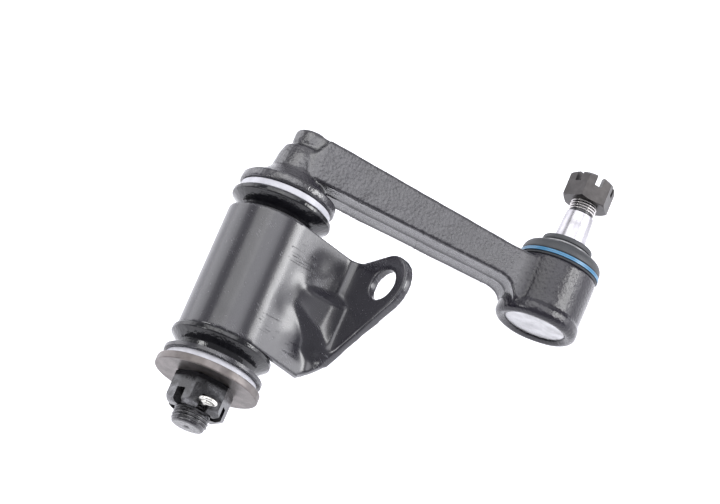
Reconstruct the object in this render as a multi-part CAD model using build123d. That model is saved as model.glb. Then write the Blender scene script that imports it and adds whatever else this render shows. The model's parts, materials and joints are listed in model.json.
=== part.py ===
from build123d import *
import os
from math import atan, cos, radians, sin, sqrt

# Steering idler arm: a forged arm with its own pivot pin, carried in a pressed
# bracket, and a ball joint at the arm's free end. Lengths are millimetres.
# The origin is midway between the two bolt holes, on the face that meets the
# frame rail. +X points into the rail and +Z up along the pivot axis.

# Bracket pressing
SHEET = 4.1
BARREL_INNER_R = 17.0
BARREL_HALF_LENGTH = 28.9
RAIL_FACE_TO_PIVOT = 36.0
BEND_R = 4.5
BOLT_HOLE_R = 7.25
BOLT_SIDE_OFFSET = 43.3
BOLT_HEIGHT = 19.2
EAR_R = 14.0
EAR_LOW_TANGENT = -42.0
EAR_HIGH_TANGENT = 100.0
EDGE_CLIMB = 0.9
RIB_R = 14.5
RIB_REACH = 14.5
RIB_HEIGHT = 1.5

# Bushing tube and plastic bushes
TUBE_WALL = 2.0
BUSH_LENGTH = 22.0
BUSH_FLANGE_R = 17.4
BUSH_FLANGE_THICKNESS = 1.6
PRESS_GAP = 0.02
PIN_RUNNING_GAP = 0.05
SIDE_GAP = 0.15
RUNNING_FACE_GAP = 0.3
RING_BORE_GAP = 0.4

# Pivot pin, collar and hub of the forging
PIN_R = 11.0
COLLAR_R = 21.6
COLLAR_THICKNESS = 4.4
NECK_R = 17.5
HUB_R = 10.7
HUB_HEIGHT = 13.3
HEAD_R = 7.6
HEAD_HEIGHT = 8.8
PIN_THREAD_R = 8.0
PIN_THREAD_ROOT_R = 7.35
PIN_END_BEYOND_NUT = 6.6
COTTER_HOLE_R = 2.0

# Arm bar
ARM_LENGTH = 120.7
ARM_REST_ANGLE = -30.0
ARM_WIDTH = 24.0
ARM_ABOVE_COLLAR = 5.2
ARM_BOTTOM_DROP = 1.6
ARM_HEIGHT_AT_HUB = 19.8
ARM_HEIGHT_AT_HOUSING = 14.8
ARM_START = 3.0
ARM_BEVEL = 1.0
ARM_EDGE_ROUND = 1.4
PANEL_DEPTH = 0.7

# Ball housing
HOUSING_R = 17.9
HOUSING_HEIGHT = 28.4
HOUSING_BELOW_ARM = 13.7
RIM_R = 18.7
RIM_HEIGHT = 5.4
CAVITY_R = 13.4
LIP_R = 13.3
LIP_HEIGHT = 1.6
LIP_CHAMFER = 1.1
CAP_SEAT_R = 14.4
CAP_THICKNESS = 2.0
CAP_DIMPLE_R = 14.0
CAP_DIMPLE_DEPTH = 0.6
MOUTH_R = 9.2
MOUTH_FLARE = 2.0
HOUSING_ROOF = 5.0

# Ball stud
BALL_R = 10.0
BALL_ABOVE_CAP = 12.8
BALL_GAP = 0.06
STUD_NECK_R = 5.6
NECK_LENGTH = 22.5
TAPER_LENGTH = 16.8
TAPER_TOP_R = 6.25
TAPER_RATIO = 8.0
STUD_THREAD_ROOT_R = 5.4
STUD_THREAD_LENGTH = 13.7
STUD_HOLE_R = 1.6
STUD_HOLE_FROM_END = 4.0

# Ball seats and spring washer
SEAT_TOP_RISE = 5.9
GREASE_HOLE_R = 3.0
SPRING_WIDTH = 5.6
SPRING_THICKNESS = 0.5
SPRING_HEIGHT = 0.9

# Castle nuts
NUT_BEVEL_SHARE = 0.06
PIVOT_NUT_AF = 24.0
PIVOT_NUT_HEIGHT = 14.2
PIVOT_NUT_SLOT = 4.6
PIVOT_NUT_SLOT_DEPTH = 6.4
PIVOT_NUT_CORNER = -142.2
STUD_NUT_AF = 19.0
STUD_NUT_ABOVE_TAPER = 5.6
STUD_NUT_HEIGHT = 12.4
STUD_NUT_SLOT = 3.2
STUD_NUT_SLOT_DEPTH = 5.2
STUD_NUT_CORNER = -145.0
THREAD_GAP = 0.03

# Washers, rings and seals below and above the bracket
THRUST_RING_R = 20.5
THRUST_RING_THICKNESS = 2.9
WASHER_R = 23.4
WASHER_THICKNESS = 3.5
WASHER_HOLE_GAP = 0.4
SEAL_PLATE_R = 22.2
SEAL_PLATE_THICKNESS = 2.0
SEAL_LIP_R = 22.5
SEAL_BORE_GAP = 0.6
SEAL_NECK_R = 17.4
UPPER_SEAL_HEIGHT = 8.0
LOWER_SEAL_HEIGHT = 8.2

# Split pin
SPLIT_PIN_R = 1.75
SPLIT_PIN_EYE_R = 4.2
SPLIT_PIN_LEG = 7.0

# Dust boot and its two rings
BOOT_BAND_R = 17.9
BOOT_WALL = 1.8
BOOT_LIP_R = 11.4
BOOT_LIP_HEIGHT = 2.4
BOOT_HEIGHT = 12.9
BOOT_GRIP_GAP = 0.05
BAND_RING_R = 18.3
BAND_RING_THICKNESS = 1.9
BAND_RING_DEPTH = 1.5
BAND_RING_LIFT = 0.9
NECK_RING_R = 10.2
NECK_RING_WIRE_R = 0.7

# Derived places
PIVOT_X = -RAIL_FACE_TO_PIVOT
BARREL_OUTER_R = BARREL_INNER_R + SHEET
BUSH_FLANGE_FACE = BARREL_HALF_LENGTH + BUSH_FLANGE_THICKNESS
UPPER_RING_BOTTOM = BUSH_FLANGE_FACE + UPPER_SEAL_HEIGHT
UPPER_RING_TOP = UPPER_RING_BOTTOM + THRUST_RING_THICKNESS
COLLAR_UNDERSIDE = UPPER_RING_TOP + RUNNING_FACE_GAP
COLLAR_TOP = COLLAR_UNDERSIDE + COLLAR_THICKNESS
SEAL_PLATE_TOP = -BUSH_FLANGE_FACE - LOWER_SEAL_HEIGHT
LOWER_RING_TOP = SEAL_PLATE_TOP - SEAL_PLATE_THICKNESS
LOWER_RING_BOTTOM = LOWER_RING_TOP - THRUST_RING_THICKNESS
PIN_SHOULDER = LOWER_RING_BOTTOM - RUNNING_FACE_GAP
WASHER_BOTTOM = PIN_SHOULDER - WASHER_THICKNESS
PIVOT_NUT_END = WASHER_BOTTOM - PIVOT_NUT_HEIGHT
PIN_END = PIVOT_NUT_END - PIN_END_BEYOND_NUT
SPLIT_PIN_Z = PIVOT_NUT_END + PIVOT_NUT_SLOT_DEPTH / 2
SPLIT_PIN_ANGLE = PIVOT_NUT_CORNER + 30
ARM_BOTTOM = COLLAR_TOP + ARM_ABOVE_COLLAR
HUB_TOP = ARM_BOTTOM + HUB_HEIGHT
HEAD_TOP = HUB_TOP + HEAD_HEIGHT
HOUSING_BOTTOM = ARM_BOTTOM - HOUSING_BELOW_ARM
HOUSING_TOP = HOUSING_BOTTOM + HOUSING_HEIGHT
SEAT_R = BALL_R + BALL_GAP
LIP_TOP = HOUSING_BOTTOM + LIP_HEIGHT
CAP_TOP = LIP_TOP + CAP_THICKNESS
CAVITY_TOP = HOUSING_TOP - HOUSING_ROOF
SPRING_TOP = CAP_TOP + SPRING_HEIGHT
BALL_CENTRE = CAP_TOP + BALL_ABOVE_CAP
TAPER_BOTTOM = BALL_CENTRE + NECK_LENGTH
TAPER_TOP = TAPER_BOTTOM + TAPER_LENGTH
STUD_END = TAPER_TOP + STUD_THREAD_LENGTH
STUD_NUT_BOTTOM = TAPER_TOP + STUD_NUT_ABOVE_TAPER
BOOT_TOP = HOUSING_TOP + BOOT_HEIGHT


def at_pivot(solid):
    """Move a solid from an axis at the origin to the pivot axis."""
    return Pos(PIVOT_X, 0, 0) * solid


def along_arm(solid):
    """Turn a solid that was made with its arm along +X to the rest position."""
    return at_pivot(Rot(0, 0, ARM_REST_ANGLE) * solid)


def at_ball(solid):
    """Move a solid from an axis at the origin to the ball joint's axis."""
    return along_arm(Pos(ARM_LENGTH, 0, 0) * solid)


def turned(profile):
    """Solid of revolution about Z from corners (radius, height, rounding)."""
    corners = [(r, z) for r, z, rounding in profile]
    section = Plane.XZ * make_face(Polyline(*corners, close=True))
    for r, z, rounding in profile:
        if rounding > 0:
            corner = section.vertices().sort_by_distance((r, 0, z))[0]
            section = fillet(corner, rounding)
    return revolve(section, Axis.Z)


def ring(inner, outer, bottom, top, rounding=0.3):
    """Flat ring with softly rounded outer corners."""
    return turned(
        [
            (inner, bottom, 0),
            (outer, bottom, rounding),
            (outer, top, rounding),
            (inner, top, 0),
        ]
    )


def taper_r(height):
    """Radius of the stud's taper at a height."""
    return TAPER_TOP_R + (TAPER_TOP - height) / (2 * TAPER_RATIO)


def castle_nut(across_flats, height, slot, slot_depth, bore_r):
    """Slotted hexagonal nut that stands on its seat, with a corner on +X."""
    corner_r = across_flats / sqrt(3)
    bevel = across_flats * NUT_BEVEL_SHARE
    envelope = turned(
        [
            (0, 0, 0),
            (corner_r - bevel, 0, 0),
            (corner_r, bevel / 2, 0),
            (corner_r, height - 1.6 * bevel, bevel),
            (corner_r - 2.4 * bevel, height, bevel),
            (0, height, 0),
        ]
    )
    nut = extrude(RegularPolygon(corner_r, 6), height) & envelope
    nut -= Cylinder(bore_r, 3 * height)
    cutter = Pos(0, 0, height) * Box(3 * across_flats, slot, 2 * slot_depth)
    for turn in (30, 90, 150):
        nut -= Rot(0, 0, turn) * cutter
    return nut


def ear_outline():
    """Outline of a rail ear beyond its bend, drawn across and up from the pivot."""
    bend_end = BARREL_OUTER_R + BEND_R
    half_rise = EDGE_CLIMB * (BEND_R + SHEET / 2) * cos(radians(45))
    below = radians(EAR_LOW_TANGENT)
    above = radians(EAR_HIGH_TANGENT)
    outline = Polyline(
        (bend_end, -BARREL_HALF_LENGTH + 2 * half_rise),
        (BOLT_SIDE_OFFSET + EAR_R * cos(below), BOLT_HEIGHT + EAR_R * sin(below)),
        (BOLT_SIDE_OFFSET + EAR_R * cos(above), BOLT_HEIGHT + EAR_R * sin(above)),
        (bend_end, BARREL_HALF_LENGTH),
        close=True,
    )
    return make_face(outline) + Pos(BOLT_SIDE_OFFSET, BOLT_HEIGHT) * Circle(EAR_R)


def bent_corner(bend_x, bend_y):
    """Quarter bend between leg and ear, its lower edge climbing round the bend."""
    height = 2 * BARREL_HALF_LENGTH
    outer = BEND_R + SHEET
    mid = (BEND_R + SHEET / 2) * cos(radians(45))
    bend = Cylinder(outer, height) - Cylinder(BEND_R, height)
    bend &= Pos(outer, outer, 0) * Box(2 * outer, 2 * outer, height)
    climb = atan(EDGE_CLIMB)
    lean = sin(climb) * cos(radians(45))
    slope = Plane(
        origin=(mid, mid, -BARREL_HALF_LENGTH + EDGE_CLIMB * mid),
        x_dir=(1, 1, 0),
        z_dir=(-lean, lean, cos(climb)),
    )
    below = Box(10 * outer, 10 * outer, height, align=(Align.CENTER, Align.CENTER, Align.MAX))
    return Pos(bend_x, bend_y, 0) * (bend - slope * below)


def bracket_side():
    """Leg, bend, bolt ear and pressed rib on the -Y side of the pivot axis."""
    near_face = RAIL_FACE_TO_PIVOT - SHEET
    bend_x = near_face - BEND_R
    leg_y = -(BARREL_INNER_R + SHEET / 2)
    leg = Pos(bend_x / 2, leg_y, 0) * Box(bend_x, SHEET, 2 * BARREL_HALF_LENGTH)
    bend = bent_corner(bend_x, -(BARREL_OUTER_R + BEND_R))
    ear_plane = Plane(origin=(near_face, 0, 0), x_dir=(0, -1, 0), z_dir=(-1, 0, 0))
    ear = extrude(ear_plane * ear_outline(), -SHEET)
    side = leg + bend + ear
    # the rib's crown runs across the corner at 45 degrees and is hollow behind
    half_reach = RIB_REACH / 2
    sink = RIB_R * cos(radians(45))
    rib_plane = Plane(
        origin=(near_face - half_reach + sink, -(BARREL_OUTER_R + half_reach) + sink, RIB_HEIGHT),
        x_dir=(0, 0, 1),
        z_dir=(1, -1, 0),
    )
    crown = rib_plane * Cylinder(RIB_R, 4 * RIB_R)
    hollow = rib_plane * Cylinder(RIB_R - SHEET, 4 * RIB_R)
    corner = Pos(near_face + SHEET / 2, leg_y, 0) * Box(
        4 * RIB_R, 4 * RIB_R, 4 * RIB_R, align=(Align.MAX, Align.MAX, Align.CENTER)
    )
    side = side + (crown & corner) - hollow
    hole = Pos(near_face, -BOLT_SIDE_OFFSET, BOLT_HEIGHT) * Rot(0, 90, 0)
    return side - hole * Cylinder(BOLT_HOLE_R, 4 * SHEET)


def bracket_pressing():
    """One folded sheet that wraps the bushing tube and ends in two bolt ears."""
    height = 2 * BARREL_HALF_LENGTH
    wrap = Cylinder(BARREL_OUTER_R, height) - Cylinder(BARREL_INNER_R, height)
    wrap -= Pos(BARREL_OUTER_R, 0, 0) * Box(2 * BARREL_OUTER_R, 4 * BARREL_OUTER_R, 2 * height)
    side = bracket_side()
    return at_pivot(wrap + side + Rot(180, 0, 0) * side)


def bushing_tube():
    """Drawn tube welded inside the wrap of the bracket."""
    inner = BARREL_INNER_R - TUBE_WALL
    return at_pivot(ring(inner, BARREL_INNER_R, -BARREL_HALF_LENGTH, BARREL_HALF_LENGTH))


def pivot_bush():
    """Flanged plastic bush for the tube's upper end."""
    bore = PIN_R + PIN_RUNNING_GAP
    outer = BARREL_INNER_R - TUBE_WALL - PRESS_GAP
    bottom = BARREL_HALF_LENGTH - BUSH_LENGTH
    return turned(
        [
            (bore, bottom, 0),
            (outer, bottom, 0.6),
            (outer, BARREL_HALF_LENGTH, 0),
            (BUSH_FLANGE_R, BARREL_HALF_LENGTH, 0),
            (BUSH_FLANGE_R, BUSH_FLANGE_FACE, 0.4),
            (bore, BUSH_FLANGE_FACE, 0),
        ]
    )


def upper_seal():
    """Dished rubber seal that opens towards the arm's collar."""
    bore = PIN_R + SEAL_BORE_GAP
    return turned(
        [
            (bore, BUSH_FLANGE_FACE, 0),
            (SEAL_NECK_R - 1, BUSH_FLANGE_FACE, 0.5),
            (SEAL_NECK_R, BUSH_FLANGE_FACE + 1.4, 1.2),
            (SEAL_LIP_R, UPPER_RING_BOTTOM - 3.0, 0.9),
            (SEAL_LIP_R, UPPER_RING_BOTTOM - 1.2, 0.5),
            (THRUST_RING_R - 0.4, UPPER_RING_BOTTOM, 0.3),
            (bore, UPPER_RING_BOTTOM, 0),
        ]
    )


def lower_seal():
    """Dished rubber seal whose lip covers the lower end of the bracket barrel."""
    bore = PIN_R + SEAL_BORE_GAP
    lip_top = -BARREL_HALF_LENGTH - SIDE_GAP
    return turned(
        [
            (bore, -BUSH_FLANGE_FACE, 0),
            (BUSH_FLANGE_R + SIDE_GAP, -BUSH_FLANGE_FACE, 0),
            (BUSH_FLANGE_R + SIDE_GAP, lip_top, 0),
            (SEAL_LIP_R, lip_top, 0.8),
            (SEAL_LIP_R, lip_top - 2.4, 0.9),
            (SEAL_NECK_R + 0.8, lip_top - 6.2, 1.6),
            (SEAL_NECK_R, SEAL_PLATE_TOP, 0.4),
            (bore, SEAL_PLATE_TOP, 0),
        ]
    )


def pin_and_hub():
    """Turned core of the forging: threaded pivot pin, collar, hub and head."""
    core = turned(
        [
            (0, PIN_END, 0),
            (PIN_THREAD_ROOT_R - 0.6, PIN_END, 0),
            (PIN_THREAD_ROOT_R, PIN_END + 0.8, 0),
            (PIN_THREAD_ROOT_R, PIN_SHOULDER, 0),
            (PIN_R, PIN_SHOULDER, 0.4),
            (PIN_R, COLLAR_UNDERSIDE, 0),
            (COLLAR_R, COLLAR_UNDERSIDE, 0.6),
            (COLLAR_R, COLLAR_TOP, 1.6),
            (NECK_R, COLLAR_TOP + 0.6, 2.5),
            (HUB_R + 1.2, ARM_BOTTOM + 1.5, 1.5),
            (HUB_R + 0.3, HUB_TOP - 5, 3),
            (HUB_R - 1.2, HUB_TOP, 1.6),
            (HEAD_R - 1.4, HUB_TOP + 0.5, 0),
            (HEAD_R - 1.4, HUB_TOP + 1.2, 0),
            (HEAD_R, HUB_TOP + 2.2, 0),
            (HEAD_R, HEAD_TOP, 2.2),
            (0, HEAD_TOP, 0),
        ]
    )
    centre_drill = Pos(0, 0, PIN_END) * Cone(2.4, 0, 4.8)
    drilled = Rot(0, 0, SPLIT_PIN_ANGLE - ARM_REST_ANGLE) * Pos(0, 0, SPLIT_PIN_Z) * Rot(0, 90, 0)
    return core - centre_drill - drilled * Cylinder(COTTER_HOLE_R, 4 * PIN_THREAD_R)


def bar_section(x, width, bottom, top):
    """Cross-section of the bar: two shallow panels below, split by the parting ridge."""
    half = width / 2
    right = [
        (ARM_BEVEL, bottom + PANEL_DEPTH),
        (half - 2 * ARM_BEVEL, bottom + PANEL_DEPTH),
        (half - ARM_BEVEL, bottom),
        (half, bottom + ARM_BEVEL),
        (half, top),
    ]
    left = [(-across, height) for across, height in reversed(right)]
    section = make_face(Polyline((0, bottom), *right, *left, close=True))
    section = fillet(section.vertices().sort_by(Axis.Y)[-2:], ARM_EDGE_ROUND)
    return Plane(origin=(x, 0, 0), x_dir=(0, 1, 0), z_dir=(1, 0, 0)) * section


def arm_bar():
    """Forged bar from the hub to the ball housing, flared where it meets the housing."""
    wall = ARM_LENGTH - HOUSING_R
    low = ARM_BOTTOM - ARM_BOTTOM_DROP
    high = low + ARM_HEIGHT_AT_HOUSING
    top_at_hub = ARM_BOTTOM + ARM_HEIGHT_AT_HUB
    floor = HOUSING_BOTTOM + 3.5
    sections = [
        bar_section(ARM_START - 4, ARM_WIDTH - 4, ARM_BOTTOM + 1.6, top_at_hub - 9),
        bar_section(ARM_START, ARM_WIDTH - 0.8, ARM_BOTTOM + 0.8, top_at_hub - 7),
        bar_section(ARM_START + 3.5, ARM_WIDTH, ARM_BOTTOM, top_at_hub),
        bar_section(wall - 6, ARM_WIDTH, low, high),
        bar_section(wall - 2.6, ARM_WIDTH + 0.2, low - 0.8, high - 0.1),
        bar_section(wall - 0.4, ARM_WIDTH + 0.6, low - 2.4, high - 0.2),
        bar_section(wall + 1.2, ARM_WIDTH + 1.0, low - 5.0, high - 0.3),
        bar_section(wall + 2.4, ARM_WIDTH + 1.6, floor + 1, high - 0.3),
        bar_section(wall + 8, ARM_WIDTH + 4, floor, high - 0.5),
    ]
    return loft(sections, ruled=True)


def ball_housing():
    """Outer body of the ball joint, forged with the arm."""
    return turned(
        [
            (0, HOUSING_BOTTOM, 0),
            (RIM_R, HOUSING_BOTTOM, 3.0),
            (RIM_R, HOUSING_BOTTOM + RIM_HEIGHT, 0.6),
            (HOUSING_R, HOUSING_BOTTOM + RIM_HEIGHT + 1.6, 1.5),
            (HOUSING_R, HOUSING_TOP, 0.8),
            (0, HOUSING_TOP, 0),
        ]
    )


def ball_cavity():
    """Space inside the housing: rolled lip, cap seat, seat bore and mouth."""
    return turned(
        [
            (0, HOUSING_BOTTOM - 1, 0),
            (LIP_R + 2 * LIP_CHAMFER, HOUSING_BOTTOM - 1, 0),
            (LIP_R + 2 * LIP_CHAMFER, HOUSING_BOTTOM, 0),
            (LIP_R, HOUSING_BOTTOM + LIP_CHAMFER, 0),
            (LIP_R, LIP_TOP, 0),
            (CAP_SEAT_R, LIP_TOP, 0),
            (CAP_SEAT_R, CAP_TOP, 0),
            (CAVITY_R, CAP_TOP, 0),
            (CAVITY_R, CAVITY_TOP, 0),
            (MOUTH_R, CAVITY_TOP, 0),
            (MOUTH_R + MOUTH_FLARE, HOUSING_TOP, 0),
            (MOUTH_R + MOUTH_FLARE, HOUSING_TOP + 1, 0),
            (0, HOUSING_TOP + 1, 0),
        ]
    )


def arm_forging():
    """Pivot pin, collar, bar and ball housing as one forging."""
    shift = Pos(ARM_LENGTH, 0, 0)
    return pin_and_hub() + arm_bar() + shift * ball_housing() - shift * ball_cavity()


def split_pin():
    """Split pin with its eye on +X and its two legs turned back round the nut."""
    wire = SPLIT_PIN_R / 2
    bend_x = -PIVOT_NUT_AF / 2 - wire - SIDE_GAP
    eye_x = PIVOT_NUT_AF / 2 + SPLIT_PIN_EYE_R
    eye = Pos(eye_x, 0, 0) * Torus(SPLIT_PIN_EYE_R - wire, wire)
    legs = []
    for side in (-1, 1):
        route = FilletPolyline(
            (eye_x - SPLIT_PIN_EYE_R + wire, side * wire, 0),
            (bend_x, side * wire, 0),
            (bend_x, side * (wire + SPLIT_PIN_LEG), 0),
            radius=2 * wire,
        )
        section = Plane(origin=route @ 0, z_dir=route % 0) * Circle(wire - 0.01)
        legs.append(sweep(section, path=route))
    joint = Pos(eye_x - SPLIT_PIN_EYE_R, 0, 0) * Sphere(wire * 1.3)
    return eye + joint + legs[0] + legs[1]


def ball_stud():
    """Ball, neck, taper and thread in one piece."""
    shank = turned(
        [
            (0, BALL_CENTRE, 0),
            (STUD_NECK_R, BALL_CENTRE, 0),
            (STUD_NECK_R, TAPER_BOTTOM - 5, 4),
            (taper_r(TAPER_BOTTOM), TAPER_BOTTOM, 0.6),
            (TAPER_TOP_R, TAPER_TOP, 0),
            (STUD_THREAD_ROOT_R, TAPER_TOP + 0.7, 0),
            (STUD_THREAD_ROOT_R, STUD_END - 0.8, 0),
            (STUD_THREAD_ROOT_R - 0.6, STUD_END, 0),
            (0, STUD_END, 0),
        ]
    )
    stud = shank + Pos(0, 0, BALL_CENTRE) * Sphere(BALL_R)
    hole_z = STUD_END - STUD_HOLE_FROM_END
    hole = Pos(0, 0, hole_z) * Rot(0, 90, STUD_NUT_CORNER) * Cylinder(STUD_HOLE_R, 40)
    return stud - hole


def upper_ball_seat():
    """Plastic ring above the ball's middle, relieved where the stud tilts."""
    outer = CAVITY_R - SIDE_GAP
    edge = BALL_CENTRE + SEAT_TOP_RISE
    edge_r = sqrt(SEAT_R**2 - SEAT_TOP_RISE**2)
    blank = turned(
        [
            (0, BALL_CENTRE + SIDE_GAP, 0),
            (outer, BALL_CENTRE + SIDE_GAP, 0),
            (outer, CAVITY_TOP, 0),
            (edge_r + 1.4, CAVITY_TOP, 0),
            (edge_r, edge, 0),
            (0, edge, 0),
        ]
    )
    return blank - Pos(0, 0, BALL_CENTRE) * Sphere(SEAT_R)


def lower_ball_seat():
    """Plastic cup below the ball's middle, with a grease pocket."""
    outer = CAVITY_R - SIDE_GAP
    blank = turned(
        [
            (GREASE_HOLE_R, SPRING_TOP, 0),
            (outer, SPRING_TOP, 0),
            (outer, BALL_CENTRE - SIDE_GAP, 0),
            (GREASE_HOLE_R, BALL_CENTRE - SIDE_GAP, 0),
        ]
    )
    return blank - Pos(0, 0, BALL_CENTRE) * Sphere(SEAT_R)


def seat_spring():
    """Dished spring washer that presses the lower seat onto the ball."""
    outer = CAVITY_R - SIDE_GAP
    inner = outer - SPRING_WIDTH
    rise = SPRING_HEIGHT - SPRING_THICKNESS
    return turned(
        [
            (outer, CAP_TOP, 0),
            (outer, CAP_TOP + SPRING_THICKNESS, 0),
            (inner, CAP_TOP + SPRING_THICKNESS + rise, 0),
            (inner, CAP_TOP + rise, 0),
        ]
    )


def housing_cap():
    """Plated closing disc with a shallow pressed dimple in its outer face."""
    disc = ring(0, CAP_SEAT_R - PRESS_GAP, LIP_TOP, CAP_TOP, 0.2)
    dimple = Pos(0, 0, LIP_TOP - CAP_DIMPLE_R + CAP_DIMPLE_DEPTH) * Sphere(CAP_DIMPLE_R)
    return disc - dimple


def dust_boot():
    """Rubber boot from the housing's top face up to the stud's taper."""
    ring_bottom = HOUSING_TOP + BAND_RING_LIFT
    ring_top = ring_bottom + BAND_RING_THICKNESS
    groove_r = BAND_RING_R - BAND_RING_DEPTH
    lip_bottom = BOOT_TOP - BOOT_LIP_HEIGHT
    groove_bottom = lip_bottom - 2 * NECK_RING_WIRE_R
    grip = BOOT_GRIP_GAP
    return turned(
        [
            (BOOT_BAND_R - 4.4, HOUSING_TOP, 0),
            (BOOT_BAND_R, HOUSING_TOP, 0.3),
            (BOOT_BAND_R, ring_bottom, 0),
            (groove_r, ring_bottom, 0),
            (groove_r, ring_top, 0),
            (BOOT_BAND_R, ring_top, 0),
            (BOOT_BAND_R, ring_top + 2.4, 1.6),
            (BOOT_BAND_R - 3.0, groove_bottom - 0.9, 1.8),
            (NECK_RING_R, groove_bottom, 0),
            (NECK_RING_R, lip_bottom, 0),
            (BOOT_LIP_R, lip_bottom, 0.4),
            (BOOT_LIP_R, BOOT_TOP, 0.6),
            (taper_r(BOOT_TOP) + grip, BOOT_TOP, 0),
            (taper_r(lip_bottom - 1) + grip, lip_bottom - 1, 0),
            (NECK_RING_R - 0.4, groove_bottom - 1.6, 0.8),
            (BOOT_BAND_R - 4.8, ring_top + 3.7, 1.2),
            (BOOT_BAND_R - BOOT_WALL - 1, ring_top + 1.6, 0.9),
            (groove_r - BOOT_WALL, ring_bottom, 0.6),
            (BOOT_BAND_R - 4.4, ring_bottom, 0),
        ]
    )


def neck_ring():
    """Wire ring that holds the boot's neck on the stud."""
    lip_bottom = BOOT_TOP - BOOT_LIP_HEIGHT
    wire = NECK_RING_WIRE_R - 0.05
    return Pos(0, 0, lip_bottom - NECK_RING_WIRE_R) * Torus(NECK_RING_R + NECK_RING_WIRE_R, wire)


def band_ring():
    """Flat ring that clamps the boot onto the housing."""
    bottom = HOUSING_TOP + BAND_RING_LIFT
    return ring(BAND_RING_R - BAND_RING_DEPTH, BAND_RING_R, bottom, bottom + BAND_RING_THICKNESS)


def pivot_nut():
    """Castle nut under the washer, crown down."""
    nut = castle_nut(
        PIVOT_NUT_AF,
        PIVOT_NUT_HEIGHT,
        PIVOT_NUT_SLOT,
        PIVOT_NUT_SLOT_DEPTH,
        PIN_THREAD_ROOT_R + THREAD_GAP,
    )
    return at_pivot(Pos(0, 0, WASHER_BOTTOM) * Rot(0, 0, PIVOT_NUT_CORNER) * Rot(180, 0, 0) * nut)


def stud_nut():
    """Castle nut run a few turns onto the stud's thread, crown up."""
    nut = castle_nut(
        STUD_NUT_AF,
        STUD_NUT_HEIGHT,
        STUD_NUT_SLOT,
        STUD_NUT_SLOT_DEPTH,
        STUD_THREAD_ROOT_R + THREAD_GAP,
    )
    return at_ball(Pos(0, 0, STUD_NUT_BOTTOM) * Rot(0, 0, STUD_NUT_CORNER - ARM_REST_ANGLE) * nut)


NODES = {
    "bracket_pressing": bracket_pressing(),
    "bushing_tube": bushing_tube(),
    "upper_bush": at_pivot(pivot_bush()),
    "lower_bush": at_pivot(Rot(180, 0, 0) * pivot_bush()),
    "upper_dust_seal": at_pivot(upper_seal()),
    "lower_dust_seal": at_pivot(lower_seal()),
    "upper_thrust_ring": at_pivot(
        ring(PIN_R + RING_BORE_GAP, THRUST_RING_R, UPPER_RING_BOTTOM, UPPER_RING_TOP)
    ),
    "lower_thrust_ring": at_pivot(
        ring(PIN_R + RING_BORE_GAP, THRUST_RING_R, LOWER_RING_BOTTOM, LOWER_RING_TOP)
    ),
    "lower_seal_plate": at_pivot(
        ring(PIN_R + RING_BORE_GAP, SEAL_PLATE_R, LOWER_RING_TOP, SEAL_PLATE_TOP)
    ),
    "arm_forging": along_arm(arm_forging()),
    "pivot_washer": at_pivot(
        ring(PIN_THREAD_R + WASHER_HOLE_GAP, WASHER_R, WASHER_BOTTOM, PIN_SHOULDER, 0.5)
    ),
    "pivot_castle_nut": pivot_nut(),
    "pivot_split_pin": at_pivot(Pos(0, 0, SPLIT_PIN_Z) * Rot(0, 0, SPLIT_PIN_ANGLE) * split_pin()),
    "upper_ball_seat": at_ball(upper_ball_seat()),
    "lower_ball_seat": at_ball(lower_ball_seat()),
    "seat_spring": at_ball(seat_spring()),
    "housing_cap": at_ball(housing_cap()),
    "dust_boot": at_ball(dust_boot()),
    "boot_band_ring": at_ball(band_ring()),
    "boot_neck_ring": at_ball(neck_ring()),
    "ball_stud": at_ball(ball_stud()),
    "stud_castle_nut": stud_nut(),
}

os.makedirs("parts", exist_ok=True)
for name, solid in NODES.items():
    export_step(solid, f"parts/{name}.step")
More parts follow.
